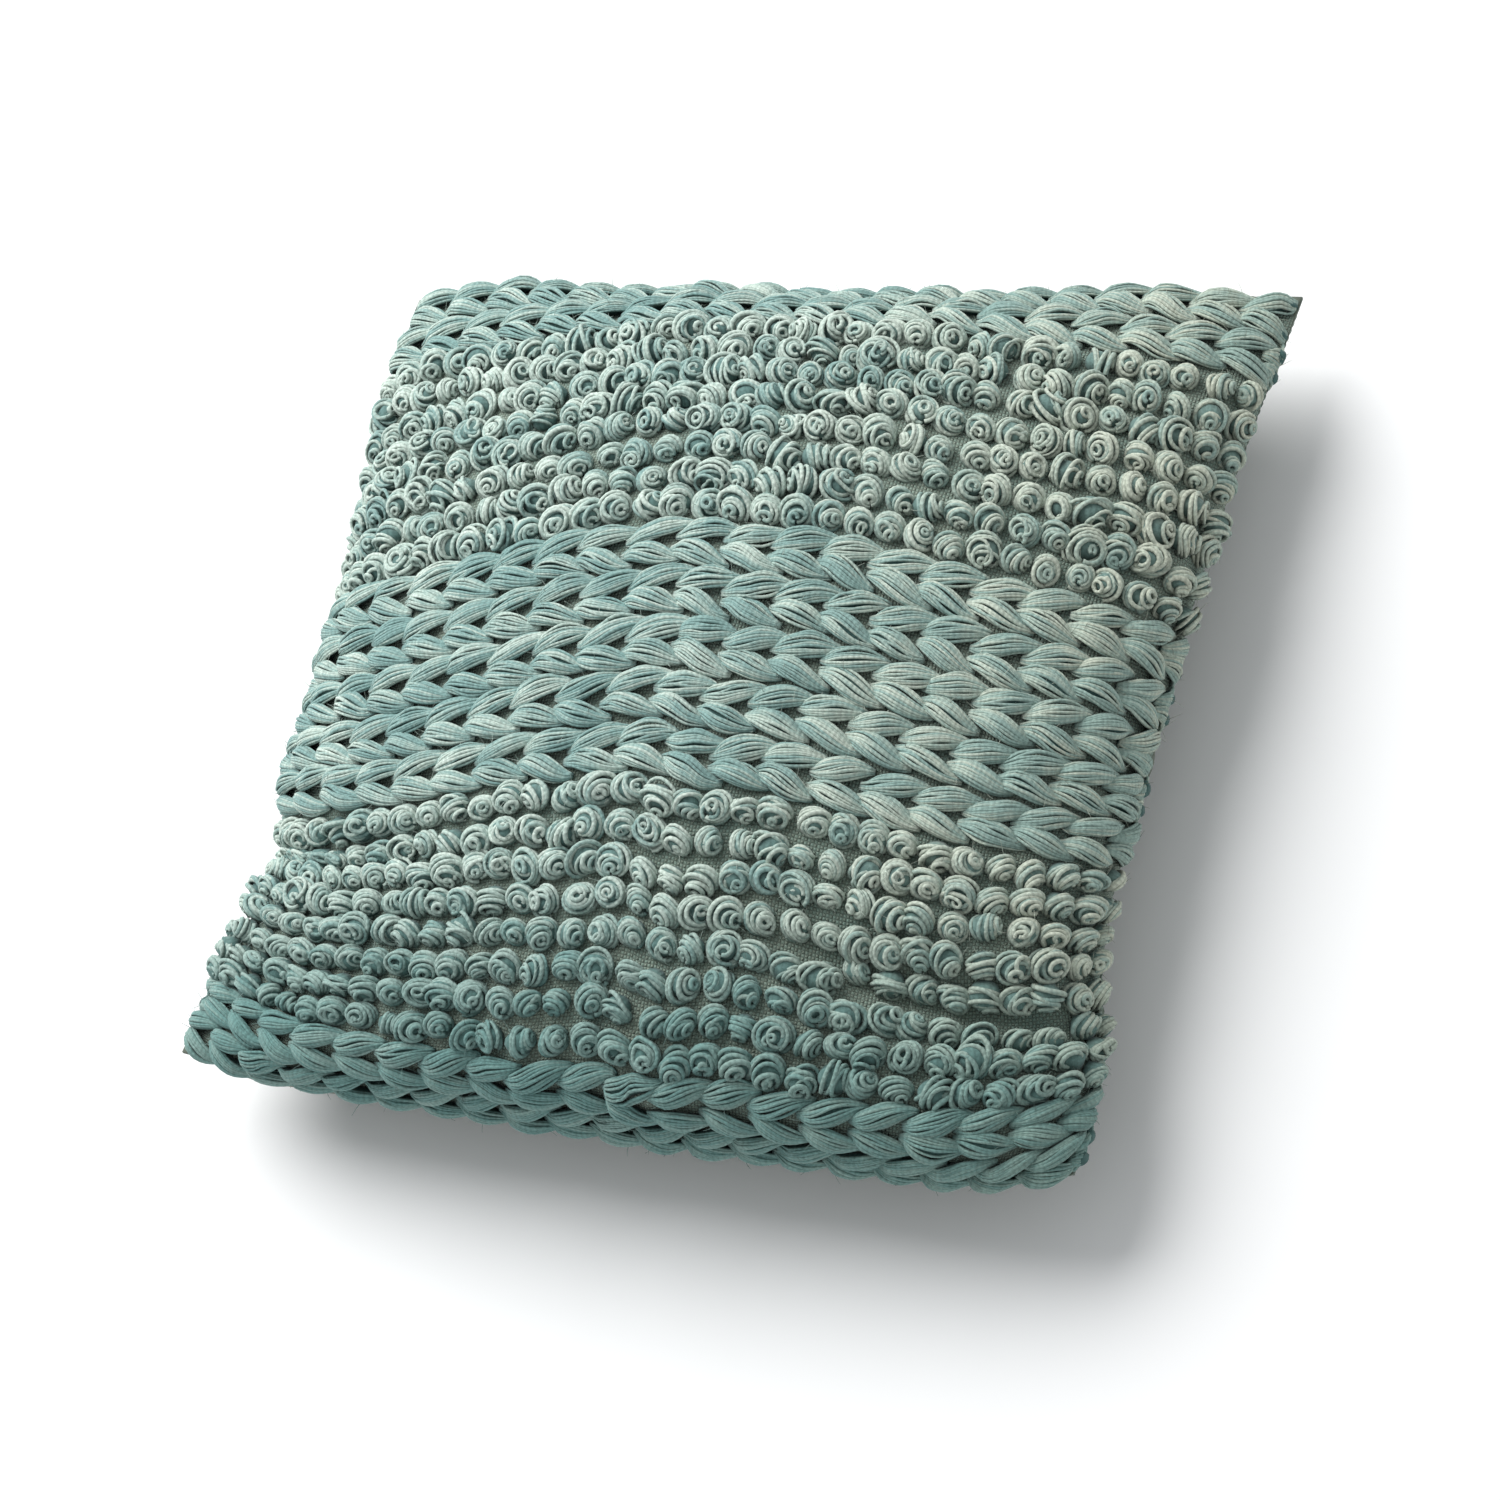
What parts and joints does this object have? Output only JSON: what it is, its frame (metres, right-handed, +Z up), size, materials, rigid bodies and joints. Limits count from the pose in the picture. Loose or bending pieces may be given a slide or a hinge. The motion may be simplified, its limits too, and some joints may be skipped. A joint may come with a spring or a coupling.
{
  "type": "throw pillow",
  "caption": "Square stuffed throw pillow with a handwoven front of braided and looped yarn bands, a plain back with a zip, and a filled insert.",
  "frame": {"origin": "on the resting plane, under the middle of the pillow's box, with the pillow lying on its back", "axes": "+Z up, out of the woven front; +X along the woven rows; +Y towards the top of the design, away from the zip"},
  "size_m": [0.4268, 0.4287, 0.1295],
  "materials": {
    "braid_yarn": "matte cotton yarn",
    "loop_yarn": "matte cotton yarn",
    "ground_weave": "coarse plain weave",
    "back_fabric": "fine plain weave",
    "sewing_thread": "matte thread",
    "zip_tape": "herringbone tape",
    "zip_teeth": "satin moulded",
    "zip_metal": "satin nickel",
    "insert_casing": "fine plain weave",
    "insert_filling": "loose fibre"
  },
  "bodies": {
    "cover": {"front_ground_cloth": "ground_weave", "back_panel_main": "back_fabric", "back_panel_strip": "back_fabric", "soumak_row_01": "braid_yarn", "soumak_row_02": "braid_yarn", "soumak_row_03": "braid_yarn", "soumak_row_04": "braid_yarn", "soumak_row_05": "braid_yarn", "soumak_row_06": "braid_yarn", "soumak_row_07": "braid_yarn", "soumak_row_08": "braid_yarn", "soumak_row_09": "braid_yarn", "soumak_row_10": "braid_yarn", "soumak_row_11": "braid_yarn", "soumak_row_12": "braid_yarn", "soumak_row_13": "braid_yarn", "soumak_row_14": "braid_yarn", "soumak_row_15": "braid_yarn", "soumak_row_16": "braid_yarn", "soumak_row_17": "braid_yarn", "soumak_row_18": "braid_yarn", "loop_row_01": "loop_yarn", "loop_row_02": "loop_yarn", "loop_row_03": "loop_yarn", "loop_row_04": "loop_yarn", "loop_row_05": "loop_yarn", "loop_row_06": "loop_yarn", "loop_row_07": "loop_yarn", "loop_row_08": "loop_yarn", "loop_row_09": "loop_yarn", "loop_row_10": "loop_yarn", "loop_row_11": "loop_yarn", "loop_row_12": "loop_yarn", "loop_row_13": "loop_yarn", "loop_row_14": "loop_yarn", "loop_row_15": "loop_yarn", "loop_row_16": "loop_yarn", "seam_thread_top": "sewing_thread", "seam_thread_bottom": "sewing_thread", "seam_thread_left": "sewing_thread", "seam_thread_right": "sewing_thread", "zip_tape_upper": "zip_tape", "zip_tape_lower": "zip_tape", "zip_teeth_upper": "zip_teeth", "zip_teeth_lower": "zip_teeth", "zip_stitching_upper": "sewing_thread", "zip_stitching_lower": "sewing_thread", "zip_top_stops": "zip_metal", "zip_bottom_stop": "zip_metal", "insert_casing_front": "insert_casing", "insert_casing_back": "insert_casing", "insert_filling": "insert_filling", "insert_seam_thread": "insert_casing"},
    "zip_slider": {"zip_slider": "zip_metal"},
    "zip_pull": {"zip_pull_tab": "zip_metal"}
  },
  "joints": [
    {"name": "zip_slide", "type": "slide", "parent": "cover", "child": "zip_slider", "axis": [-1, 0, 0], "range_m": [0, 0.315]},
    {"name": "pull_hinge", "type": "hinge", "parent": "zip_slider", "child": "zip_pull", "pos_m": [0.158, -0.19531, 0.01986], "axis": [0, -0.8552, 0.5183], "range_deg": [0, 180]}
  ]
}
